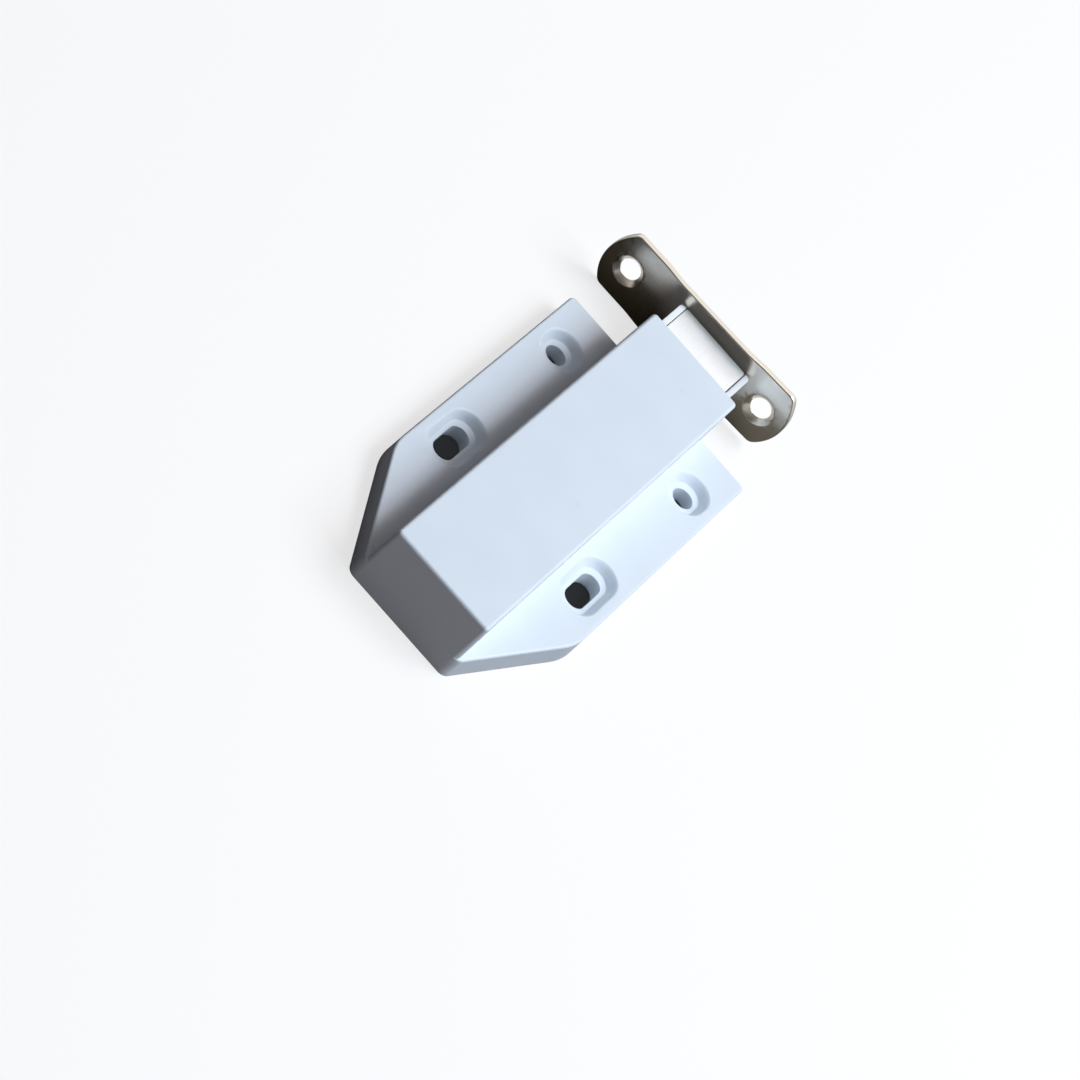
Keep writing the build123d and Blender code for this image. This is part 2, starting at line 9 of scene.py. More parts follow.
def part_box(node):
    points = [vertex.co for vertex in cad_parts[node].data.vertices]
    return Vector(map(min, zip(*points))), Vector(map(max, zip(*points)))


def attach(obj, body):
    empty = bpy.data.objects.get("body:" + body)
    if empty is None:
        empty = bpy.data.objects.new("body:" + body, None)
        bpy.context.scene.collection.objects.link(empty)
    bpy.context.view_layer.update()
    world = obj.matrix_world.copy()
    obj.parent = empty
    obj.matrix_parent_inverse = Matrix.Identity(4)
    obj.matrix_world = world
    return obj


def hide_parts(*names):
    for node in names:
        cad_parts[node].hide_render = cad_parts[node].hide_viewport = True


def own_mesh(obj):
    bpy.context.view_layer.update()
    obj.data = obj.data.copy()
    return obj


bl_info = {
    "name": "Magnetic Push Catch",
    "version": (1, 0, 0),
    "blender": (4, 5, 0),
    "location": "3D View > Sidebar > Push Catch",
    "description": "Builds a magnetic push catch and its strike plate round their packed frame",
    "category": "Add Mesh",
}

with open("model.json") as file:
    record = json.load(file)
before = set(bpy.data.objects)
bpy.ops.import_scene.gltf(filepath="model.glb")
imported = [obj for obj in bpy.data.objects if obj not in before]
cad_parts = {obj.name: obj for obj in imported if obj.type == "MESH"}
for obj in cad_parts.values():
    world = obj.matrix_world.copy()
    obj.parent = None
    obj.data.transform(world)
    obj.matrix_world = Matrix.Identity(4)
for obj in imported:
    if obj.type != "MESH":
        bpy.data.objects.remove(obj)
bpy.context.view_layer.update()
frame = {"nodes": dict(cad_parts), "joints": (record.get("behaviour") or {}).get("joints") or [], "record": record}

MM = 0.001
MERGE_DISTANCE = 0.001 * MM
JOINTS = {joint["name"]: joint for joint in frame["joints"]}
BODY_OF_NODE = {
    node: body for body, nodes in frame["record"]["behaviour"]["bodies"].items() for node in nodes
}
SIDES = ("left", "right")
WHITE = (1.0, 1.0, 1.0, 1.0)


# Properties that a user would change
def length_value(name, description, default_mm):
    """A length property whose default is given in millimetres."""
    return bpy.props.FloatProperty(
        name=name, description=description, default=default_mm * MM, min=0, unit="LENGTH", subtype="DISTANCE"
    )


def angle_value(name, description, degrees):
    """An angle property whose default is given in degrees."""
    return bpy.props.FloatProperty(
        name=name, description=description, default=radians(degrees), unit="ROTATION", subtype="ANGLE"
    )


def colour_value(name, description, default):
    """A linear colour property."""
    return bpy.props.FloatVectorProperty(
        name=name, description=description, default=default, min=0, max=1, size=3, subtype="COLOR"
    )


def share_value(name, description, default):
    """A plain share between nothing and one."""
    return bpy.props.FloatProperty(name=name, description=description, default=default, min=0, max=1)


def number_value(name, description, default):
    """A plain number, such as a lamp's watts."""
    return bpy.props.FloatProperty(name=name, description=description, default=default)


def count_value(name, description, default, least):
    """A whole number of turns, steps or sides."""
    return bpy.props.IntProperty(name=name, description=description, default=default, min=least)


def vector_value(name, description, default):
    """A place or a direction."""
    return bpy.props.FloatVectorProperty(name=name, description=description, default=default)


class CatchSizes(bpy.types.PropertyGroup):
    """Sizes of the pieces that are modelled here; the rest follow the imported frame."""

    crease_angle: angle_value("Crease Angle", "Edges turned by more than this stay sharp", 50)
    moulding_edge: length_value("Moulding Edge", "Radius that softens the mouldings' edges", 0.16)
    plate_edge: length_value("Plate Edge", "Radius that softens the steel parts' edges", 0.06)
    strike_end_radius: length_value("Strike End Radius", "Radius of the strike plate's ends", 9.8)
    strike_corner_radius: length_value("Strike Corner Radius", "Radius of its four corners", 1.6)
    strike_crease: angle_value("Strike Crease", "The strike plate's own crease angle", 35)
    strike_tilt: angle_value("Strike Tilt", "How far askew the strike plate hangs on the magnet", 2)
    strike_length: length_value("Strike Length", "Length over the strike plate's ends", 41.8)
    strike_height: length_value("Strike Height", "Height of the strike plate", 13.0)
    strike_hole: length_value("Strike Hole", "Diameter of its screw holes", 3.9)
    strike_sink: length_value("Strike Countersink", "Diameter of their countersinks", 5.8)
    strike_hole_spacing: length_value("Strike Hole Spacing", "Between its hole centres", 31.5)
    strike_roll: length_value("Strike Edge Roll", "Rolled edge that the punch leaves", 0.28)
    strike_burr: length_value("Strike Back Edge", "Small edge radius on its back", 0.07)
    ear_start: length_value("Ear Start", "From the strike plate's middle to where its domed ears begin", 7.5)
    ear_strip: length_value("Ear Strip", "Width of the strips that let its faces bend", 1.07)
    ear_dome: length_value("Ear Dome", "How far an ear's upper and lower edges bend back", 0.45)
    ear_fall: length_value("Ear Fall", "How far an ear's end bends back", 0.35)
    magnet_chamfer: length_value("Magnet Chamfer", "Chamfer on the magnets' long edges", 0.3)
    magnet_edge: length_value("Magnet Edge", "Fine radius on the magnets' other edges", 0.1)
    rivet_shank: length_value("Rivet Shank", "Diameter of the rivets' shank", 2.0)
    rivet_head_depth: length_value("Rivet Head Depth", "Depth of each countersunk rivet head", 0.6)
    rivet_dimple: length_value("Rivet Dimple", "Diameter of the dimple that the rivet tool leaves", 1.1)
    spring_wire: length_value("Spring Wire", "Wire diameter of the coil springs", 0.6)
    spring_turns: count_value("Spring Turns", "Turns of each coil spring, its closed ends included", 12, 4)
    spring_closed_gap: length_value("Closed Gap", "Gap between the closed turns at a spring's ends", 0.06)
    rod_tip: length_value("Rod Tip", "Chamfer on the tip of a spring rod", 0.3)
    pin_wire: length_value("Pin Wire", "Wire diameter of the latch pin", 1.0)
    pin_bend: length_value("Pin Bend", "Radius of the latch pin's bends", 0.8)
    screw_shank: length_value("Screw Core", "Core diameter of the cover screws", 1.45)
    screw_thread: length_value("Screw Thread", "Outer diameter of the cover screws' thread", 1.8)
    screw_pitch: length_value("Screw Pitch", "Pitch of that thread", 0.7)
    screw_head_depth: length_value("Screw Head Depth", "Depth of the countersunk screw head", 0.7)


class CatchColours(bpy.types.PropertyGroup):
    """Colours of the catch's own finishes, and of the stage, its painted floor shades included."""

    housing: colour_value("Housing", "White moulded housing", (0.72, 0.785, 0.85))
    cover: colour_value("Base Cover", "White moulded base cover", (0.70, 0.76, 0.82))
    plunger: colour_value("Plunger", "White moulded plunger", (0.86, 0.885, 0.91))
    strike: colour_value("Strike Plate", "Satin nickel of the strike plate", (0.84, 0.775, 0.68))
    pole: colour_value("Pole Plates", "Zinc-plated steel of the pole plates", (0.93, 0.93, 0.925))
    ferrite: colour_value("Magnets", "Sintered ferrite of the magnets", (0.035, 0.034, 0.036))
    chip: colour_value("Magnet Chips", "Fresh ferrite where their edges are chipped", (0.13, 0.13, 0.135))
    rivet: colour_value("Rivets", "Plated steel of the rivets", (0.70, 0.70, 0.69))
    spring: colour_value("Springs", "Spring steel of the coils", (0.56, 0.56, 0.55))
    rod: colour_value("Spring Rods", "Drawn steel of the rods", (0.60, 0.60, 0.61))
    pin: colour_value("Latch Pin", "Drawn wire of the latch pin", (0.58, 0.58, 0.59))
    leaf: colour_value("Leaf Spring", "Blued strip of the leaf spring", (0.42, 0.43, 0.46))
    screw: colour_value("Cover Screws", "Zinc-plated steel of the screws", (0.66, 0.67, 0.70))
    floor: colour_value("Floor", "Pale floor", (0.92, 0.925, 0.93))
    floor_cloud: colour_value("Floor Clouds", "Paler clouds of the floor", (0.96, 0.96, 0.96))
    # Painted shadow: the floor below the flanges gets this dark colour, seen through their slots.
    cover_shade: colour_value("Cover Shade", "Floor seen through the flanges' slots", (0.025, 0.027, 0.029))
    # Painted reflection shade: the floor shows these darker tones only where the metal mirrors it.
    mirror_shade: colour_value("Mirror Shade", "Floor beside the catch, in the metal", (0.034, 0.029, 0.02))
    mirrored_near_shade: colour_value("Mirror Near", "Floor round the catch, in the metal", (0.12, 0.11, 0.09))
    mirrored_far_shade: colour_value("Mirror Far", "Floor before the catch, in the metal", (0.5, 0.5, 0.49))
    key: colour_value("Key Light", "Cool daylight from above on the right", (0.74, 0.89, 1.0))
    top: colour_value("Top Light", "Warmer light from higher up", (1.0, 0.88, 0.88))
    fill: colour_value("Fill Light", "Warm light of the room", (1.0, 0.86, 0.86))
    room_shade: colour_value("Room Shade", "Dim room behind the camera, in the metal", (0.10, 0.09, 0.08))


class CatchStage(bpy.types.PropertyGroup):
    """The camera, the lights and how the floor looks."""

    azimuth: angle_value("Azimuth", "Camera's turn round the catch", 0.263)
    elevation: angle_value("Elevation", "Camera's height above the floor", 39.923)
    roll: angle_value("Roll", "Camera's turn about its own axis", 48.63)
    distance: length_value("Distance", "From the camera to the point that it looks at", 748.2)
    aim: vector_value("Aim", "Point that the camera looks at", (0.00509, -0.03781, 0.006))
    lens: number_value("Lens", "Focal length of the camera", 160.3)
    sensor: number_value("Sensor", "Width of its sensor", 36)
    key_power: number_value("Key Power", "Watts of the key light", 7.6)
    key_size: length_value("Key Size", "Side of the key light", 600)
    key_distance: length_value("Key Distance", "From the catch to the key light", 900)
    key_direction: vector_value("Key Direction", "Towards the key light", (0.57, 0.13, 0.81))
    top_power: number_value("Top Power", "Watts of the top light", 3.1)
    top_size: length_value("Top Size", "Side of the top light", 420)
    top_distance: length_value("Top Distance", "From the catch to the top light", 900)
    top_direction: vector_value("Top Direction", "Towards the top light", (0.34, 0.45, 0.83))
    fill_strength: share_value("Fill Strength", "Light that comes evenly from all sides", 0.075)
    room_power: number_value("Room Power", "Watts of the room's light", 2.2)
    room_size: length_value("Room Size", "Side of the room's light", 900)
    room_distance: length_value("Room Distance", "From the catch to the room's light", 1200)
    room_direction: vector_value("Room Direction", "Towards the room's light", (0.7, -0.68, 0.22))
    room_back: number_value("Room Back", "Where the dim room ends in the metal's sky, along Y", -0.75)
    room_front: number_value("Room Front", "Where its white front begins", 0.1)
    floor_bounce: share_value("Floor Bounce", "Share of light that the floor throws back on the catch", 0.16)
    shadow_depth: share_value("Shadow Depth", "How dark the catch's shadow looks on the floor", 0.28)
    mirror_shadow: share_value("Mirrored Shadow", "How dark that shadow looks in the metal", 0.85)
    # Where the painted shadow below the flanges lies.
    cover_margin: length_value("Cover Margin", "From the flanges' sides to the dark below them", 2.5)
    cover_front: length_value("Cover Front", "From the housing's front to that dark", 5.0)
    cover_length: length_value("Cover Length", "Length of that dark below the flanges", 54.0)
    # Where the painted reflection shade lies on the floor.
    mirror_reach: length_value("Mirror Reach", "How softly the shade beside the catch ends", 14)
    shade_span: number_value("Shade Span", "Width of that shade, in half widths of the housing", 1.5)
    near_span: number_value("Near Span", "Reach of the near floor to each side, in half widths", 3)
    near_run: number_value("Near Run", "Reach of the near floor behind, in lengths of the housing", 2)


def sizes():
    """The sizes as the user has set them."""
    return bpy.context.scene.catch_sizes


def colours():
    """The colours as the user has set them."""
    return bpy.context.scene.catch_colours


# Small helpers for node trees
def place(tree, kind, values=None, **settings):
    """A new node with its settings, and a value or a link for each named input."""
    node = tree.nodes.new(kind)
    for name, setting in settings.items():
        setattr(node, name, setting)
    for socket, value in (values or {}).items():
        if isinstance(value, bpy.types.NodeSocket):
            tree.links.new(value, node.inputs[socket])
        else:
            node.inputs[socket].default_value = value
    return node


def math_node(tree, operation, first, second=0.5, clamp=False):
    """A maths node's output."""
    node = place(tree, "ShaderNodeMath", {0: first, 1: second}, operation=operation, use_clamp=clamp)
    return node.outputs[0]


def blend_colours(tree, factor, first, second):
    """The result of mixing two colours."""
    node = place(tree, "ShaderNodeMix", {0: factor, 6: first, 7: second}, data_type="RGBA")
    return node.outputs[2]


def blend_shaders(tree, factor, first, second):
    """The result of mixing two shaders."""
    return place(tree, "ShaderNodeMixShader", {0: factor, 1: first, 2: second}).outputs[0]


def noise(tree, vector, scale, detail):
    """The value of a noise texture."""
    return place(tree, "ShaderNodeTexNoise", {"Vector": vector, "Scale": scale, "Detail": detail}).outputs[0]


def remap(tree, value, low, high, new_low=0.0, new_high=1.0):
    """A value taken from one range to another, kept inside it."""
    values = {"Value": value, "From Min": low, "From Max": high, "To Min": new_low, "To Max": new_high}
    return place(tree, "ShaderNodeMapRange", values).outputs[0]


def ray_masks(tree):
    """Whether a ray comes straight from the camera, and whether it comes by way of a mirror or a lens."""
    path = tree.nodes.new("ShaderNodeLightPath").outputs
    mirrored = math_node(tree, "MAXIMUM", path["Is Glossy Ray"], path["Is Transmission Ray"])
    return path["Is Camera Ray"], mirrored


def opaque(colour):
    """A colour with its fourth value."""
    return (*colour, 1.0)


def shade_of(colour, share):
    """A darker or lighter shade of a colour."""
    return opaque([min(1.0, share * part) for part in colour])


# Shared effects: each takes its tree and its inputs, and returns its outputs by name
def skin_effect(tree, vector, grain_scale, wave_scale, wave_share):
    """The fine spark-eroded skin of a moulding, with slow waves and a faint change of tone."""
    grain = noise(tree, vector, grain_scale, 2.0)
    cells = place(tree, "ShaderNodeTexVoronoi", {"Vector": vector, "Scale": grain_scale}).outputs[0]
    wave = noise(tree, vector, wave_scale, 1.5)
    patch = noise(tree, vector, math_node(tree, "MULTIPLY", wave_scale, 3.3), 4.0)
    pebbles = math_node(tree, "MULTIPLY", grain, math_node(tree, "ADD", cells, 0.6))
    waves = math_node(tree, "MULTIPLY", wave, wave_share)
    return {
        "Height": math_node(tree, "ADD", pebbles, waves),
        "Tone": remap(tree, wave, 0.3, 0.7),
        "Sheen": remap(tree, patch, 0.3, 0.7),
    }


def line_effect(tree, vector, stretch, cloud_scale):
    """Fine lines that run one way, as rolling, drawing or brushing leaves them."""
    stretched = place(tree, "ShaderNodeVectorMath", {0: vector, 1: stretch}, operation="MULTIPLY").outputs[0]
    lines = noise(tree, stretched, 1.0, 3.0)
    scuffs = noise(tree, stretched, 0.21, 2.0)
    cloud = noise(tree, vector, cloud_scale, 3.0)
    return {
        "Height": math_node(tree, "ADD", lines, math_node(tree, "MULTIPLY", scuffs, 0.6)),
        "Lines": remap(tree, lines, 0.35, 0.65),
        "Cloud": remap(tree, cloud, 0.3, 0.7),
    }


def edge_effect(tree, radius, gain):
    """Edges rounded by a small radius, and a mask of where they are."""
    rounded = place(tree, "ShaderNodeBevel", {"Radius": radius}, samples=4).outputs[0]
    flat = tree.nodes.new("ShaderNodeNewGeometry").outputs["Normal"]
    match = place(tree, "ShaderNodeVectorMath", {0: rounded, 1: flat}, operation="DOT_PRODUCT")
    turned = math_node(tree, "SUBTRACT", 1.0, match.outputs["Value"])
    return {"Normal": rounded, "Mask": math_node(tree, "MULTIPLY", turned, gain, clamp=True)}


def speck_effect(tree, vector, scale, share):
    """A sparse mask of small pits or specks."""
    cells = place(tree, "ShaderNodeTexVoronoi", {"Vector": vector, "Scale": scale})
    chance = place(tree, "ShaderNodeSeparateColor", {0: cells.outputs["Color"]})
    chosen = math_node(tree, "LESS_THAN", chance.outputs[0], share)
    spot = remap(tree, cells.outputs["Distance"], 0.1, 0.35, 1.0, 0.0)
    return {"Mask": math_node(tree, "MULTIPLY", chosen, spot)}


EFFECTS = {
    "moulded skin": (
        skin_effect,
        {"Vector": (), "Grain Scale": 5200.0, "Wave Scale": 90.0, "Wave Share": 0.5},
    ),
    "drawn lines": (line_effect, {"Vector": (), "Stretch": (200.0, 9000.0, 9000.0), "Cloud Scale": 240.0}),
    "soft edges": (edge_effect, {"Radius": 0.1 * MM, "Gain": 3.0}),
    "specks": (speck_effect, {"Vector": (), "Scale": 2500.0, "Share": 0.12}),
}


def new_effect(name):
    """A shader node group for the effect of that name, with its sockets."""
    build, inputs = EFFECTS[name]
    tree = bpy.data.node_groups.new(name, "ShaderNodeTree")
    for socket, default in inputs.items():
        kind = "NodeSocketFloat" if isinstance(default, float) else "NodeSocketVector"
        made = tree.interface.new_socket(name=socket, in_out="INPUT", socket_type=kind)
        if default:
            made.default_value = default
    given = tree.nodes.new("NodeGroupInput").outputs
    results = build(tree, *[given[socket] for socket in inputs])
    for socket, value in results.items():
        kind = "NodeSocketVector" if value.type == "VECTOR" else "NodeSocketFloat"
        tree.interface.new_socket(name=socket, in_out="OUTPUT", socket_type=kind)
    place(tree, "NodeGroupOutput", results)
    return tree


def use_effect(tree, name, values):
    """The outputs of the effect of that name, placed in a material with its own values."""
    effect = bpy.data.node_groups.get(name) or new_effect(name)
    return place(tree, "ShaderNodeGroup", values, node_tree=effect).outputs


# Materials
def new_material(name):
    """An empty material: its tree, its shader and its Object coordinates."""
    material = bpy.data.materials.new(name)
    material.use_nodes = True
    tree = material.node_tree
    shader = tree.nodes["Principled BSDF"]
    coordinates = tree.nodes.new("ShaderNodeTexCoord").outputs["Object"]
    return material, tree, shader, coordinates


def wire_surface(tree, shader, colour, roughness, height, normal, strength, depth):
    """Gives a shader its colour and roughness, and a bump of that depth over its soft edges."""
    values = {"Strength": strength, "Distance": depth, "Height": height, "Normal": normal}
    bump = place(tree, "ShaderNodeBump", values)
    for name, value in (("Base Color", colour), ("Roughness", roughness), ("Normal", bump.outputs[0])):
        tree.links.new(value, shader.inputs[name])


def moulded_plastic(name, colour, roughness, grain_depth):
    """White moulded plastic with a fine skin, slow waves, and edges a little smoother, painted a little lighter as
    a highlight.
    """
    material, tree, shader, coordinates = new_material(name)
    skin = use_effect(tree, "moulded skin", {"Vector": coordinates})
    edges = use_effect(tree, "soft edges", {"Radius": sizes().moulding_edge, "Gain": 5.0})
    specks = use_effect(tree, "specks", {"Vector": coordinates, "Scale": 420.0, "Share": 0.02})
    base = blend_colours(tree, skin["Tone"], shade_of(colour, 0.965), opaque(colour))
    # Painted highlight: the edges are made a little lighter than the plastic is.
    for mask, share, shade in ((edges["Mask"], 0.5, 1.08), (specks["Mask"], 0.12, 0.62)):
        base = blend_colours(tree, math_node(tree, "MULTIPLY", mask, share), base, shade_of(colour, shade))
    sheen = remap(tree, skin["Sheen"], 0.0, 1.0, roughness - 0.04, roughness + 0.05)
    rough = math_node(tree, "SUBTRACT", sheen, math_node(tree, "MULTIPLY", edges["Mask"], 0.1))
    wire_surface(tree, shader, base, rough, skin["Height"], edges["Normal"], 0.5, grain_depth)
    shader.inputs["IOR"].default_value = 1.5
    shader.inputs["Specular IOR Level"].default_value = 0.45
    return material


def worked_metal(
    name,
    colour,
    roughness,
    stretch,
    edge,
    pit_share=0.1,
    line_depth=0.004 * MM,
    edge_wear_and_highlight=0.5,
    depth=0.18,
    metallic=1.0,
    mirrored=1.0,
    unevenness=0.1,
):
    """Plated or drawn steel with fine lines, clouded polish, small pits and brighter edges, partly wear and partly
    a painted highlight; a mirrored share below one paints the colour darker in reflections.
    """
    material, tree, shader, coordinates = new_material(name)
    lines = use_effect(tree, "drawn lines", {"Vector": coordinates, "Stretch": stretch})
    edges = use_effect(tree, "soft edges", {"Radius": edge, "Gain": 4.0})
    pits = use_effect(tree, "specks", {"Vector": coordinates, "Scale": 2600.0, "Share": pit_share})
    darker = shade_of(colour, 1 - depth)
    base = blend_colours(tree, lines["Lines"], darker, opaque(colour))
    for mask, share, shade in (
        (lines["Cloud"], 0.35, darker),
        (pits["Mask"], 0.5, darker),
        # Brighter edges: partly wear, partly a painted highlight.
        (edges["Mask"], edge_wear_and_highlight, shade_of(colour, 1.35)),
    ):
        base = blend_colours(tree, math_node(tree, "MULTIPLY", mask, share), base, shade)
    # Painted reflection: where a glossy ray sees this metal, its colour is painted darker, so other metal mirrors
    # it dark.
    if mirrored < 1:
        glossy = tree.nodes.new("ShaderNodeLightPath").outputs["Is Glossy Ray"]
        base = blend_colours(tree, glossy, base, shade_of(colour, mirrored))
    dull = roughness + 0.6 * unevenness
    grain = remap(tree, lines["Lines"], 0.0, 1.0, dull, dull - unevenness)
    clouds = math_node(tree, "MULTIPLY", lines["Cloud"], 0.8 * unevenness)
    rough = math_node(tree, "ADD", grain, clouds)
    height = math_node(tree, "SUBTRACT", lines["Height"], pits["Mask"])
    wire_surface(tree, shader, base, rough, height, edges["Normal"], 0.35, line_depth)
    shader.inputs["Metallic"].default_value = metallic
    return material


def sintered_ferrite(name, colour, chip):
    """Dark grey ceramic magnet with a ground face and small chips at its edges."""
    material, tree, shader, coordinates = new_material(name)
    lines = use_effect(tree, "drawn lines", {"Vector": coordinates, "Stretch": (6000.0, 300.0, 6000.0)})
    grains = use_effect(tree, "specks", {"Vector": coordinates, "Scale": 5200.0, "Share": 0.3})
    edges = use_effect(tree, "soft edges", {"Radius": 0.12 * MM, "Gain": 3.0})
    base = blend_colours(tree, lines["Lines"], opaque(colour), shade_of(colour, 1.5))
    grain_share = math_node(tree, "MULTIPLY", grains["Mask"], 0.6)
    chips = math_node(tree, "MULTIPLY", edges["Mask"], lines["Cloud"])
    base = blend_colours(tree, grain_share, base, shade_of(colour, 3.0))
    base = blend_colours(tree, chips, base, opaque(chip))
    rough = remap(tree, lines["Cloud"], 0.0, 1.0, 0.42, 0.62)
    height = math_node(tree, "ADD", lines["Height"], grains["Mask"])
    wire_surface(tree, shader, base, rough, height, edges["Normal"], 0.4, 0.008 * MM)
    return material


# Making and finishing pieces
def add_object(name, data):
    """A new object in the scene."""
    made = bpy.data.objects.new(name, data)
    bpy.context.scene.collection.objects.link(made)
    return made


def piece_from(bm, name, material, nodes, crease=None):
    """A finished piece: smooth faces with sharp creases, riding on the body of the nodes that it replaces."""
    crease = crease or sizes().crease_angle
    for face in bm.faces:
        face.smooth = True
    for edge in bm.edges:
        edge.smooth = len(edge.link_faces) == 2 and edge.calc_face_angle() < crease
    mesh = bpy.data.meshes.new(name)
    bm.to_mesh(mesh)
    bm.free()
    piece = add_object(name, mesh)
    piece.data.materials.append(material)
    weighted = piece.modifiers.new("Weighted normals", "WEIGHTED_NORMAL")
    weighted.keep_sharp = True
    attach(piece, BODY_OF_NODE[nodes[0]])
    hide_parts(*nodes)
    return piece


def merged_copy(node):
    """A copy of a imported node's mesh with its loose triangles joined."""
    bm = bmesh.new()
    bm.from_mesh(frame["nodes"][node].data)
    bmesh.ops.remove_doubles(bm, verts=bm.verts, dist=MERGE_DISTANCE)
    return bm


def bevel(bm, edges, offset, segments, clamp=False):
    """Rounds edges, or chamfers them where it has one segment."""
    bmesh.ops.bevel(
        bm,
        geom=edges,
        offset=offset,
        offset_type="OFFSET",
        segments=segments,
        profile=0.5,
        affect="EDGES",
        material=-1,
        clamp_overlap=clamp,
    )


def turned_profile(points, centre, segments):
    """A closed round body spun about an upright axis from its radius and height points."""
    bm = bmesh.new()
    verts = [bm.verts.new((centre[0] + radius, centre[1], height)) for radius, height in points]
    edges = [bm.edges.new(pair) for pair in zip(verts, verts[1:])]
    bmesh.ops.spin(
        bm,
        geom=verts + edges,
        cent=(centre[0], centre[1], 0),
        axis=(0, 0, 1),
        angle=tau,
        steps=segments,
        use_merge=True,
    )
    bmesh.ops.remove_doubles(bm, verts=bm.verts, dist=MERGE_DISTANCE)
    bmesh.ops.recalc_face_normals(bm, faces=bm.faces)
    return bm


def spin_wire(bm, loop, centre, axis, angle, steps, rise=(0, 0, 0)):
    """Carries the open end of a wire round an axis, and returns its new end."""
    spun = bmesh.ops.spin(
        bm, geom=loop, cent=centre, axis=axis, dvec=rise, angle=angle, steps=steps, use_merge=False
    )
    return spun["geom_last"]


def push_wire(bm, loop, offset):
    """Carries the open end of a wire straight on, and returns its new end."""
    edges = [item for item in loop if isinstance(item, bmesh.types.BMEdge)]
    pushed = bmesh.ops.extrude_edge_only(bm, edges=edges)["geom"]
    verts = [item for item in pushed if isinstance(item, bmesh.types.BMVert)]
    bmesh.ops.translate(bm, verts=verts, vec=offset)
    return verts + [edge for edge in pushed if isinstance(edge, bmesh.types.BMEdge) and edge.is_boundary]


def close_ends(bm, radius):
    """Closes the open ends of a wire and rounds their rims."""
    made = bmesh.ops.holes_fill(bm, edges=[edge for edge in bm.edges if edge.is_boundary], sides=0)
    rims = {edge for face in made["faces"] for edge in face.edges}
    bmesh.ops.recalc_face_normals(bm, faces=bm.faces)
    bevel(bm, list(rims), radius, 3, clamp=True)


# The pieces, one operator for each group of like pieces
class CATCH_OT_housing(bpy.types.Operator):
    """Finish the moulded housing: soft edges and a fine white skin over its flanges, block and pockets"""

    bl_idname = "catch.housing"
    bl_label = "Housing"

    def execute(self, context):
        material = moulded_plastic("White housing plastic", colours().housing, 0.4, 0.02 * MM)
        piece_from(merged_copy("housing"), "housing_moulding", material, ["housing"])
        return {"FINISHED"}


class CATCH_OT_base_cover(bpy.types.Operator):
    """Finish the base cover that closes the housing from below"""

    bl_idname = "catch.base_cover"
    bl_label = "Base Cover"

    def execute(self, context):
        material = moulded_plastic("White cover plastic", colours().cover, 0.5, 0.03 * MM)
        piece_from(merged_copy("base_cover"), "cover_moulding", material, ["base_cover"])
        return {"FINISHED"}


class CATCH_OT_plunger(bpy.types.Operator):
    """Finish the sliding plunger with its two cheeks and its heart cam"""

    bl_idname = "catch.plunger"
    bl_label = "Plunger"

    def execute(self, context):
        material = moulded_plastic("White plunger plastic", colours().plunger, 0.32, 0.01 * MM)
        piece_from(merged_copy("plunger"), "plunger_moulding", material, ["plunger"])
        return {"FINISHED"}


class CATCH_OT_pole_plates(bpy.types.Operator):
    """Finish the two steel plates that carry the magnets' pull to the strike plate"""

    bl_idname = "catch.pole_plates"
    bl_label = "Pole Plates"

    def execute(self, context):
        material = worked_metal(
            "Bright zinc plate",
            colours().pole,
            0.34,
            (5200, 260, 5200),
            sizes().plate_edge,
            pit_share=0.05,
            line_depth=0.0005 * MM,
            depth=0.06,
            metallic=0.4,
            # Painted reflection: the pole plates look far darker where the strike plate mirrors them than they
            # are.
            mirrored=0.12,
        )
        for level in ("upper", "lower"):
            node = f"{level}_pole_plate"
            piece_from(merged_copy(node), f"{level}_plate_stamping", material, [node])
        return {"FINISHED"}


class CATCH_OT_magnets(bpy.types.Operator):
    """Model the two block magnets between the pole plates"""

    bl_idname = "catch.magnets"
    bl_label = "Magnets"

    def execute(self, context):
        material = sintered_ferrite("Sintered ferrite", colours().ferrite, colours().chip)
        for side in SIDES:
            low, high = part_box(f"magnet_{side}")
            size = high - low
            bm = bmesh.new()
            bmesh.ops.create_cube(bm, size=1.0)
            bmesh.ops.scale(bm, verts=bm.verts, vec=size)
            bmesh.ops.translate(bm, verts=bm.verts, vec=(low + high) / 2)
            upright = [edge for edge in bm.edges if abs(edge.verts[0].co.z - edge.verts[1].co.z) > size.z / 2]
            bevel(bm, upright, sizes().magnet_chamfer, 1)
            bevel(bm, list(bm.edges), sizes().magnet_edge, 3)
            piece_from(bm, f"{side}_magnet_block", material, [f"magnet_{side}"])
        return {"FINISHED"}


class CATCH_OT_rivets(bpy.types.Operator):
    """Turn the two flush rivets that hold the pole plates on the plunger's web"""

    bl_idname = "catch.rivets"
    bl_label = "Rivets"

    segments: count_value("Segments", "Segments round a rivet", 64, 16)
    rim_share: share_value("Rim Share", "Chamfer round a head, as a share of its radius", 0.03)

    def execute(self, context):
        material = worked_metal("Plated rivet steel", colours().rivet, 0.3, (1800, 1800, 1800), 0.05 * MM)
        for side in SIDES:
            node = f"plate_rivet_{side}"
            low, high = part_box(node)
            centre = (low + high) / 2
            head = (high.x - low.x) / 2
            shank = sizes().rivet_shank / 2
            depth = sizes().rivet_head_depth
            dimple = sizes().rivet_dimple / 2
            rim = head * self.rim_share
            half = [
                (0, dimple / 3),
                (dimple / 2, dimple / 4),
                (dimple, 0),
                (head - rim, 0),
                (head, rim),
                (shank, depth),
            ]
            profile = [(reach, low.z + lift) for reach, lift in half]
            profile += [(reach, high.z - lift) for reach, lift in reversed(half)]
            bm = turned_profile(profile, centre, self.segments)
            piece_from(bm, f"{side}_plate_rivet", material, [node])
        return {"FINISHED"}


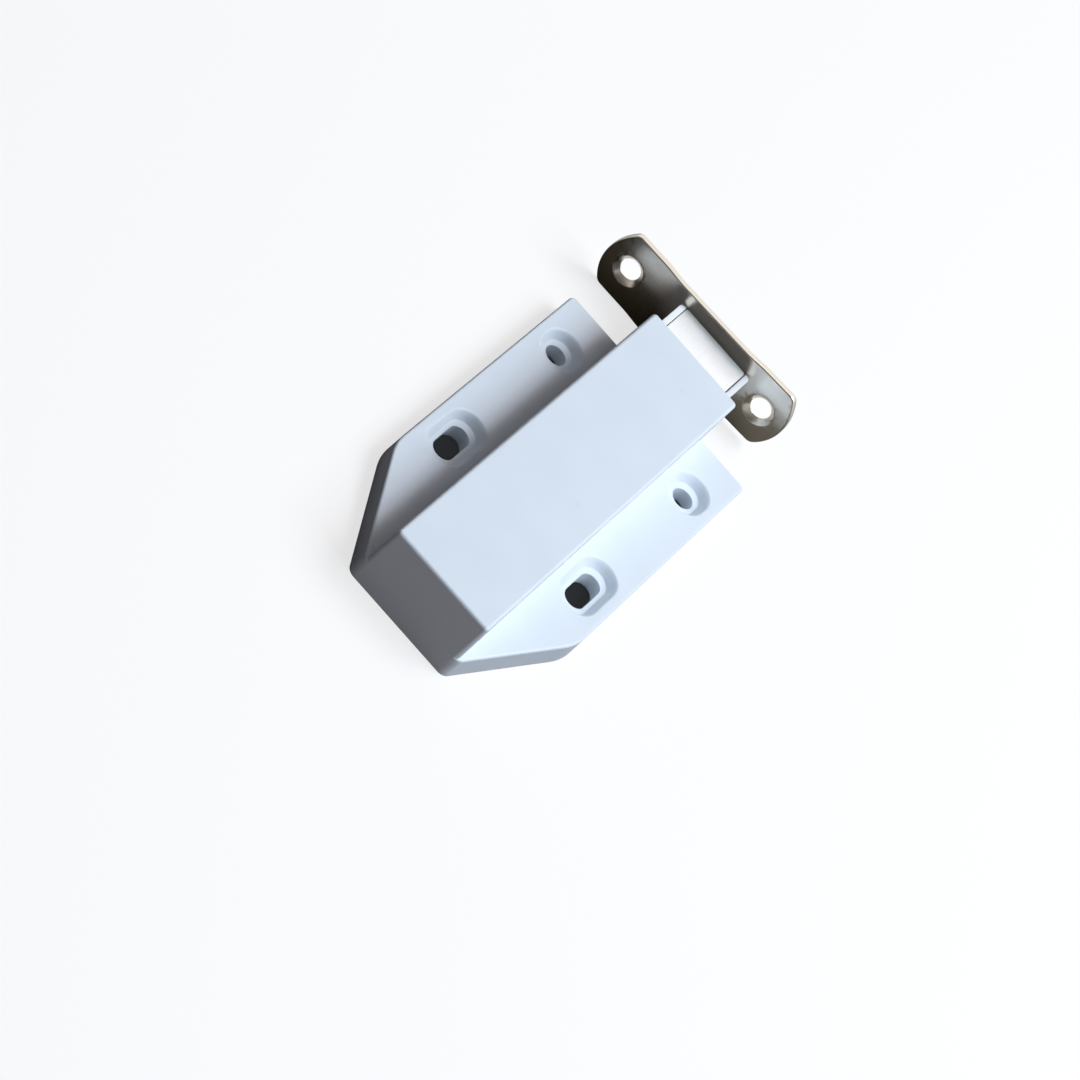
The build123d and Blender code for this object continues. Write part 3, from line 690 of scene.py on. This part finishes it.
class CATCH_OT_springs(bpy.types.Operator):
    """Wind the two coil springs, their end turns lying closed"""

    bl_idname = "catch.springs"
    bl_label = "Springs"

    steps_per_turn: count_value("Steps", "Steps in each turn", 40, 12)
    wire_sides: count_value("Wire Sides", "Sides of the wire", 14, 6)

    def execute(self, context):
        material = worked_metal("Spring wire", colours().spring, 0.28, (2600, 2600, 2600), 0.04 * MM)
        wire = sizes().spring_wire
        closed_pitch = wire + sizes().spring_closed_gap
        for side in SIDES:
            node = f"spring_{side}"
            low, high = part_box(node)
            middle = (low + high) / 2
            radius = (high.x - low.x - wire) / 2
            length = high.y - low.y - wire
            open_turns = sizes().spring_turns - 2
            open_pitch = (length - 2 * closed_pitch) / open_turns
            bm = bmesh.new()
            start = Matrix.Translation((middle.x + radius, low.y + wire / 2, middle.z))
            bmesh.ops.create_circle(bm, segments=self.wire_sides, radius=wire / 2, matrix=start)
            end = list(bm.verts) + list(bm.edges)
            for turns, pitch in ((1, closed_pitch), (open_turns, open_pitch), (1, closed_pitch)):
                steps = turns * self.steps_per_turn
                rise = (0, pitch / self.steps_per_turn, 0)
                end = spin_wire(bm, end, middle, (0, -1, 0), turns * tau, steps, rise)
            close_ends(bm, wire / 8)
            piece = piece_from(bm, f"{side}_coil_spring", material, [node])
            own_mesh(piece)
        return {"FINISHED"}


class CATCH_OT_spring_rods(bpy.types.Operator):
    """Turn the two drawn rods that keep the springs straight"""

    bl_idname = "catch.spring_rods"
    bl_label = "Spring Rods"

    segments: count_value("Segments", "Segments round a rod", 48, 16)

    def execute(self, context):
        material = worked_metal("Drawn rod steel", colours().rod, 0.26, (5200, 200, 5200), 0.05 * MM)
        for side in SIDES:
            node = f"spring_rod_{side}"
            low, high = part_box(node)
            radius = (high.x - low.x) / 2
            bm = bmesh.new()
            along = Matrix.Translation((low + high) / 2) @ Matrix.Rotation(-pi / 2, 4, "X")
            bmesh.ops.create_cone(
                bm,
                cap_ends=True,
                segments=self.segments,
                radius1=radius,
                radius2=radius,
                depth=high.y - low.y,
                matrix=along,
            )
            end = high.y - MERGE_DISTANCE
            tip = [edge for edge in bm.edges if all(vert.co.y > end for vert in edge.verts)]
            bevel(bm, tip, sizes().rod_tip, 4)
            piece_from(bm, f"{side}_guide_rod", material, [node])
        return {"FINISHED"}


class CATCH_OT_cover_screws(bpy.types.Operator):
    """Model the two countersunk screws of the base cover, with a cross recess and a thread"""

    bl_idname = "catch.cover_screws"
    bl_label = "Cover Screws"

    segments: count_value("Segments", "Segments round a screw", 48, 16)
    thread_share: share_value("Thread Share", "Half of the thread's foot, as a share of its pitch", 0.32)
    thread_root: share_value("Thread Root", "Radius of that foot, as a share of the core's", 0.97)
    plain_turns: count_value("Plain Turns", "Turns left plain at the tip", 2, 0)

    def execute(self, context):
        material = worked_metal("Bright screw steel", colours().screw, 0.28, (2600, 2600, 2600), 0.05 * MM)
        for side in SIDES:
            node = f"cover_screw_{side}"
            low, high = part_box(node)
            centre = (low + high) / 2
            core = sizes().screw_shank / 2
            crest = sizes().screw_thread / 2
            pitch = sizes().screw_pitch
            head_top = low.z + sizes().screw_head_depth
            bm = merged_copy(node)
            top, tip = head_top - MERGE_DISTANCE, high.z - MERGE_DISTANCE
            for vert in [vert for vert in bm.verts if top < vert.co.z < tip]:
                offset = Vector((vert.co.x - centre.x, vert.co.y - centre.y, 0))
                bmesh.ops.translate(bm, verts=[vert], vec=offset.normalized() * core - offset)
            ridge = bmesh.new()
            base = pitch * self.thread_share
            foot = core * self.thread_root
            tip_z = high.z - self.plain_turns * pitch
            turns = int((tip_z - head_top) / pitch)
            section = [(foot, head_top), (crest, head_top + base), (foot, head_top + 2 * base)]
            verts = [ridge.verts.new((centre.x + reach, centre.y, height)) for reach, height in section]
            edges = [ridge.edges.new(pair) for pair in zip(verts, verts[1:] + verts[:1])]
            spin_wire(
                ridge,
                verts + edges,
                (centre.x, centre.y, 0),
                (0, 0, 1),
                turns * tau,
                turns * self.segments,
                (0, 0, pitch / self.segments),
            )
            close_ends(ridge, 0.02 * MM)
            thread = bpy.data.meshes.new(f"{side} thread")
            ridge.to_mesh(thread)
            ridge.free()
            bm.from_mesh(thread)
            bpy.data.meshes.remove(thread)
            piece_from(bm, f"{side}_cross_screw", material, [node])
        return {"FINISHED"}


class CATCH_OT_latch_pin(bpy.types.Operator):
    """Bend the latch pin from one length of wire, up out of its pivot and up into the cam"""

    bl_idname = "catch.latch_pin"
    bl_label = "Latch Pin"

    wire_sides: count_value("Wire Sides", "Sides of the wire", 40, 12)
    bend_steps: count_value("Bend Steps", "Steps in each bend", 14, 4)

    def execute(self, context):
        material = worked_metal("Pin wire", colours().pin, 0.25, (4200, 220, 4200), 0.05 * MM)
        low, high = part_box("latch_pin")
        wire = sizes().pin_wire
        bend = sizes().pin_bend
        middle_x = (low.x + high.x) / 2
        rear = low.y + wire / 2
        front = high.y - wire / 2
        level = JOINTS["pin_swing"]["pos_m"][2]
        bm = bmesh.new()
        foot = Matrix.Translation((middle_x, rear, low.z))
        bmesh.ops.create_circle(bm, segments=self.wire_sides, radius=wire / 2, matrix=foot)
        end = list(bm.verts) + list(bm.edges)
        end = push_wire(bm, end, (0, 0, level - bend - low.z))
        end = spin_wire(bm, end, (middle_x, rear + bend, level - bend), (-1, 0, 0), pi / 2, self.bend_steps)
        end = push_wire(bm, end, (0, front - rear - 2 * bend, 0))
        end = spin_wire(bm, end, (middle_x, front - bend, level + bend), (1, 0, 0), pi / 2, self.bend_steps)
        push_wire(bm, end, (0, 0, high.z - level - bend))
        close_ends(bm, wire / 5)
        piece_from(bm, "bent_latch_pin", material, ["latch_pin"])
        return {"FINISHED"}


class CATCH_OT_leaf_spring(bpy.types.Operator):
    """Finish the strip that keeps the latch pin's tip in the cam"""

    bl_idname = "catch.leaf_spring"
    bl_label = "Leaf Spring"

    def execute(self, context):
        material = worked_metal("Blued spring strip", colours().leaf, 0.3, (5200, 220, 5200), 0.03 * MM)
        piece_from(merged_copy("leaf_spring"), "bent_leaf_spring", material, ["leaf_spring"])
        return {"FINISHED"}


class CATCH_OT_strike_plate(bpy.types.Operator):
    """Stamp the strike plate: rounded ends, a rolled front edge and two countersunk holes"""

    bl_idname = "catch.strike_plate"
    bl_label = "Strike Plate"

    hole_segments: count_value("Hole Segments", "Segments round a hole", 72, 24)
    end_steps: count_value("End Steps", "Steps round an end", 28, 8)
    corner_steps: count_value("Corner Steps", "Steps round a corner", 10, 4)
    roll_steps: count_value("Roll Steps", "Steps across the rolled edge", 5, 1)
    burr_steps: count_value("Burr Steps", "Steps across the other edges", 2, 1)
    dome_start: share_value("Dome Start", "Share of an ear over which its dome begins", 0.35)

    def outline(self, bm):
        """The plate's edge in the XZ plane about the origin, from arcs about its end and corner centres."""
        half = sizes().strike_height / 2
        end_radius = sizes().strike_end_radius
        corner = sizes().strike_corner_radius
        end_centre = sizes().strike_length / 2 - end_radius
        corner_reach = sqrt((end_radius - corner) ** 2 - (half - corner) ** 2)
        meet = atan2(half - corner, corner_reach)
        corner_x = end_centre + corner_reach
        top = bm.verts.new((0, 0, half))
        first = bm.verts.new((corner_x, 0, half))
        bm.edges.new((top, first))
        sweep = pi / 2 - meet
        last = spin_wire(bm, [first], (corner_x, 0, half - corner), (0, 1, 0), sweep, self.corner_steps)
        last = spin_wire(bm, last, (end_centre, 0, 0), (0, 1, 0), 2 * meet, self.end_steps)
        last = spin_wire(bm, last, (corner_x, 0, corner - half), (0, 1, 0), sweep, self.corner_steps)
        bm.edges.new((last[0], bm.verts.new((0, 0, -half))))
        bmesh.ops.mirror(bm, geom=bm.verts[:] + bm.edges[:], axis="X", merge_dist=MERGE_DISTANCE)
        bmesh.ops.remove_doubles(bm, verts=bm.verts, dist=MERGE_DISTANCE)
        return list(bm.edges)

    def ring(self, bm, centre_x, depth, diameter):
        """The edges of one circle of a hole."""
        facing = Matrix.Translation((centre_x, depth, 0)) @ Matrix.Rotation(pi / 2, 4, "X")
        made = bmesh.ops.create_circle(bm, segments=self.hole_segments, radius=diameter / 2, matrix=facing)
        return list({edge for vert in made["verts"] for edge in vert.link_edges})

    def slice_faces(self, bm):
        """Cuts the plate's faces into narrow strips both ways, so that they can bend."""
        for normal, reach in (((1, 0, 0), sizes().strike_length / 2), ((0, 0, 1), sizes().strike_height / 2)):
            cuts = int(reach / sizes().ear_strip)
            for cut in range(-cuts, cuts + 1):
                bmesh.ops.bisect_plane(
                    bm,
                    geom=bm.verts[:] + bm.edges[:] + bm.faces[:],
                    dist=MERGE_DISTANCE,
                    plane_co=Vector(normal) * cut * sizes().ear_strip,
                    plane_no=normal,
                )

    def bend_ears(self, bm):
        """Bends the plate's two ears into shallow domes, as the punch leaves them."""
        reach = sizes().strike_length / 2 - sizes().ear_start
        bent = {}
        for vert in bm.verts:
            along = max(0, abs(vert.co.x) - sizes().ear_start) / reach
            side = 2 * vert.co.z / sizes().strike_height
            rise = min(1, along / self.dome_start)
            dome = rise * rise * (3 - 2 * rise) * side * side * sizes().ear_dome
            step = round((dome + along * along * sizes().ear_fall) / MERGE_DISTANCE)
            bent.setdefault(step, []).append(vert)
        for step, verts in bent.items():
            bmesh.ops.translate(bm, verts=verts, vec=(0, step * MERGE_DISTANCE, 0))

    def execute(self, context):
        low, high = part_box("strike_plate")
        thickness = high.y - low.y
        sink_depth = (sizes().strike_sink - sizes().strike_hole) / 2
        bm = bmesh.new()
        front_edge = self.outline(bm)
        back_edge = bmesh.ops.duplicate(bm, geom=front_edge)["geom"]
        back_verts = [item for item in back_edge if isinstance(item, bmesh.types.BMVert)]
        back_edge = [item for item in back_edge if isinstance(item, bmesh.types.BMEdge)]
        bmesh.ops.translate(bm, verts=back_verts, vec=(0, thickness, 0))
        front_rings = []
        back_rings = []
        for centre_x in (-sizes().strike_hole_spacing / 2, sizes().strike_hole_spacing / 2):
            sink = self.ring(bm, centre_x, 0, sizes().strike_sink)
            waist = self.ring(bm, centre_x, sink_depth, sizes().strike_hole)
            back = self.ring(bm, centre_x, thickness, sizes().strike_hole)
            bmesh.ops.bridge_loops(bm, edges=sink + waist)
            bmesh.ops.bridge_loops(bm, edges=waist + back)
            front_rings += sink
            back_rings += back
        bmesh.ops.bridge_loops(bm, edges=front_edge + back_edge)
        bmesh.ops.triangle_fill(bm, edges=front_edge + front_rings, use_beauty=True, normal=(0, -1, 0))
        bmesh.ops.triangle_fill(bm, edges=back_edge + back_rings, use_beauty=True, normal=(0, 1, 0))
        bmesh.ops.recalc_face_normals(bm, faces=bm.faces)
        bevel(bm, front_edge, sizes().strike_roll, self.roll_steps)
        bevel(bm, back_edge + back_rings + front_rings, sizes().strike_burr, self.burr_steps)
        self.slice_faces(bm)
        self.bend_ears(bm)
        middle = (low + high) / 2
        hang = Matrix.Translation((middle.x, low.y, middle.z)) @ Matrix.Rotation(-sizes().strike_tilt, 4, "Y")
        bmesh.ops.transform(bm, matrix=hang, verts=bm.verts)
        material = worked_metal(
            "Satin nickel",
            colours().strike,
            0.22,
            (900, 5200, 5200),
            sizes().plate_edge,
            pit_share=0.02,
            line_depth=0.0003 * MM,
            edge_wear_and_highlight=0.8,
            depth=0.06,
            unevenness=0.03,
        )
        piece_from(bm, "strike_stamping", material, ["strike_plate"], sizes().strike_crease)
        return {"FINISHED"}


class CATCH_OT_stage(bpy.types.Operator):
    """Set up the pale floor, the soft light and the camera"""

    bl_idname = "catch.stage"
    bl_label = "Stage"

    floor_size: length_value("Floor Size", "Side of the floor", 8000)

    def box_mask(self, tree, coordinates, low, high, blurs):
        """How far a place on the floor lies inside a box, from nothing outside it to one inside it."""
        spread = place(tree, "ShaderNodeSeparateXYZ", {0: coordinates})
        mask = 1.0
        for value, start, end, blur in zip(spread.outputs, low, high, blurs):
            mask = math_node(tree, "MULTIPLY", mask, remap(tree, value, start - blur, start))
            mask = math_node(tree, "MULTIPLY", mask, remap(tree, value, end, end + blur, 1.0, 0.0))
        return mask

    def floor_masks(self, tree, coordinates, stage):
        """Where shade is painted on the floor: dark below the catch, shaded beside it in the metal, and near it.
        """
        low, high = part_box("housing")
        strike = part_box("strike_plate")[0].y
        front = high.y - stage.cover_front
        rear = front - stage.cover_length
        flank = high.x - stage.cover_margin
        blur = stage.cover_margin
        shade = stage.shade_span * low.x
        left, right, behind = stage.near_span * low.x, stage.near_span * high.x, stage.near_run * low.y
        return (
            # Painted shadow below the flanges.
            self.box_mask(tree, coordinates, (-flank, rear), (flank, front), (MM, MM)),
            self.box_mask(tree, coordinates, (shade, low.y), (0, strike), (stage.mirror_reach, blur)),
            self.box_mask(tree, coordinates, (left, behind), (right, strike), (blur, blur)),
        )

    def make_floor(self, stage):
        """A pale floor that keeps a soft shadow, with a painted shadow below the catch and painted darker tones
        where the metal mirrors it, and throws little light back on the catch.
        """
        bm = bmesh.new()
        bmesh.ops.create_grid(bm, x_segments=8, y_segments=8, size=self.floor_size / 2)
        mesh = bpy.data.meshes.new("floor")
        bm.to_mesh(mesh)
        bm.free()
        floor = add_object("floor", mesh)
        material, tree, shader, coordinates = new_material("Pale floor")
        tree.nodes.remove(shader)
        cloud = noise(tree, coordinates, 3.0, 2.0)
        tone = blend_colours(tree, cloud, opaque(colours().floor), opaque(colours().floor_cloud))
        covered, beside, around = self.floor_masks(tree, coordinates, stage)
        # Painted reflection shade: near the catch the floor is darker where the metal mirrors it than where the
        # camera sees it.
        far = blend_colours(tree, around, opaque(colours().mirrored_far_shade), opaque(colours().mirrored_near_shade))
        looks = []
        for depth, mask, pale_tones, shade in (
            (stage.shadow_depth, covered, (tone, WHITE), opaque(colours().cover_shade)),
            (stage.mirror_shadow, beside, (far, far), opaque(colours().mirror_shade)),
        ):
            lit_tone, glow_tone = [blend_colours(tree, mask, pale_tone, shade) for pale_tone in pale_tones]
            lit = place(tree, "ShaderNodeBsdfDiffuse", {"Color": lit_tone}).outputs[0]
            glow = place(tree, "ShaderNodeEmission", {"Color": glow_tone}).outputs[0]
            looks.append(blend_shaders(tree, depth, glow, lit))
        seen, mirrored = ray_masks(tree)
        dim = opaque([stage.floor_bounce] * 3)
        bounce = place(tree, "ShaderNodeBsdfDiffuse", {"Color": dim}).outputs[0]
        unseen = blend_shaders(tree, mirrored, bounce, looks[1])
        surface = blend_shaders(tree, seen, unseen, looks[0])
        tree.links.new(surface, tree.nodes["Material Output"].inputs["Surface"])
        mesh.materials.append(material)

    def make_world(self, stage):
        """Even room light, white where the camera looks past the floor, and dimmer behind it in the metal."""
        world = bpy.data.worlds.new("Room")
        world.use_nodes = True
        tree = world.node_tree
        seen, mirrored = ray_masks(tree)
        coordinates = tree.nodes.new("ShaderNodeTexCoord").outputs["Generated"]
        direction = place(tree, "ShaderNodeSeparateXYZ", {0: coordinates})
        beyond = remap(tree, direction.outputs["Y"], stage.room_back, stage.room_front)
        sky = blend_colours(tree, beyond, opaque(colours().room_shade), WHITE)
        pale_tone = blend_colours(tree, seen, sky, WHITE)
        shown = math_node(tree, "MAXIMUM", seen, mirrored)
        even = {"Color": opaque(colours().fill), "Strength": stage.fill_strength}
        room = place(tree, "ShaderNodeBackground", even).outputs[0]
        pale = place(tree, "ShaderNodeBackground", {"Color": pale_tone, "Strength": 1.0}).outputs[0]
        surface = blend_shaders(tree, shown, room, pale)
        tree.links.new(surface, tree.nodes["World Output"].inputs["Surface"])
        bpy.context.scene.world = world

    def make_light(self, stage, name, colour, mirrored):
        """One large soft light, pointed at the catch."""
        light = bpy.data.lights.new(name, "AREA")
        light.energy = getattr(stage, f"{name}_power")
        light.color = colour
        light.size = getattr(stage, f"{name}_size")
        lamp = add_object(name, light)
        lamp.visible_glossy = mirrored
        towards = Vector(getattr(stage, f"{name}_direction")).normalized()
        lamp.location = Vector(stage.aim) + towards * getattr(stage, f"{name}_distance")
        lamp.rotation_euler = towards.to_track_quat("Z", "Y").to_euler()

    def make_camera(self, stage):
        """The camera at the photograph's angle, turned about its own axis."""
        lens = bpy.data.cameras.new("camera")
        lens.lens = stage.lens
        lens.sensor_width = stage.sensor
        camera = add_object("camera", lens)
        flat = cos(stage.elevation)
        back = Vector((-sin(stage.azimuth) * flat, -cos(stage.azimuth) * flat, sin(stage.elevation)))
        level = Vector((cos(stage.azimuth), -sin(stage.azimuth), 0))
        raised = back.cross(level)
        right = level * cos(stage.roll) + raised * sin(stage.roll)
        turn = Matrix((right, back.cross(right), back)).transposed()
        camera.matrix_world = Matrix.Translation(Vector(stage.aim) + back * stage.distance) @ turn.to_4x4()
        bpy.context.scene.camera = camera

    def execute(self, context):
        stage = context.scene.catch_stage
        context.scene.view_settings.view_transform = "Standard"
        self.make_floor(stage)
        self.make_world(stage)
        self.make_light(stage, "key", colours().key, mirrored=True)
        self.make_light(stage, "top", colours().top, mirrored=True)
        self.make_light(stage, "room", colours().fill, mirrored=False)
        self.make_camera(stage)
        return {"FINISHED"}


PIECES = (
    CATCH_OT_housing,
    CATCH_OT_base_cover,
    CATCH_OT_plunger,
    CATCH_OT_pole_plates,
    CATCH_OT_magnets,
    CATCH_OT_rivets,
    CATCH_OT_springs,
    CATCH_OT_spring_rods,
    CATCH_OT_cover_screws,
    CATCH_OT_latch_pin,
    CATCH_OT_leaf_spring,
    CATCH_OT_strike_plate,
    CATCH_OT_stage,
)
PROPERTIES = {"catch_sizes": CatchSizes, "catch_colours": CatchColours, "catch_stage": CatchStage}


class CATCH_PT_panel(bpy.types.Panel):
    """The catch's sizes, colours and buttons in the sidebar"""

    bl_idname = "CATCH_PT_panel"
    bl_label = "Push Catch"
    bl_space_type = "VIEW_3D"
    bl_region_type = "UI"
    bl_category = "Push Catch"

    def draw(self, context):
        for piece in PIECES:
            self.layout.operator(piece.bl_idname)
        for name, group in PROPERTIES.items():
            column = self.layout.column(align=True)
            for prop in group.__annotations__:
                column.prop(getattr(context.scene, name), prop)


def register():
    for group in PROPERTIES.values():
        bpy.utils.register_class(group)
    for name, group in PROPERTIES.items():
        setattr(bpy.types.Scene, name, bpy.props.PointerProperty(type=group))
    for piece in PIECES:
        bpy.utils.register_class(piece)
    bpy.utils.register_class(CATCH_PT_panel)


def unregister():
    bpy.utils.unregister_class(CATCH_PT_panel)
    for piece in reversed(PIECES):
        bpy.utils.unregister_class(piece)
    for name, group in PROPERTIES.items():
        delattr(bpy.types.Scene, name)
        bpy.utils.unregister_class(group)


def main():
    """Builds every piece and the stage."""
    register()
    for piece in PIECES:
        group, name = piece.bl_idname.split(".")
        getattr(getattr(bpy.ops, group), name)()


if __name__ == "__main__":
    main()
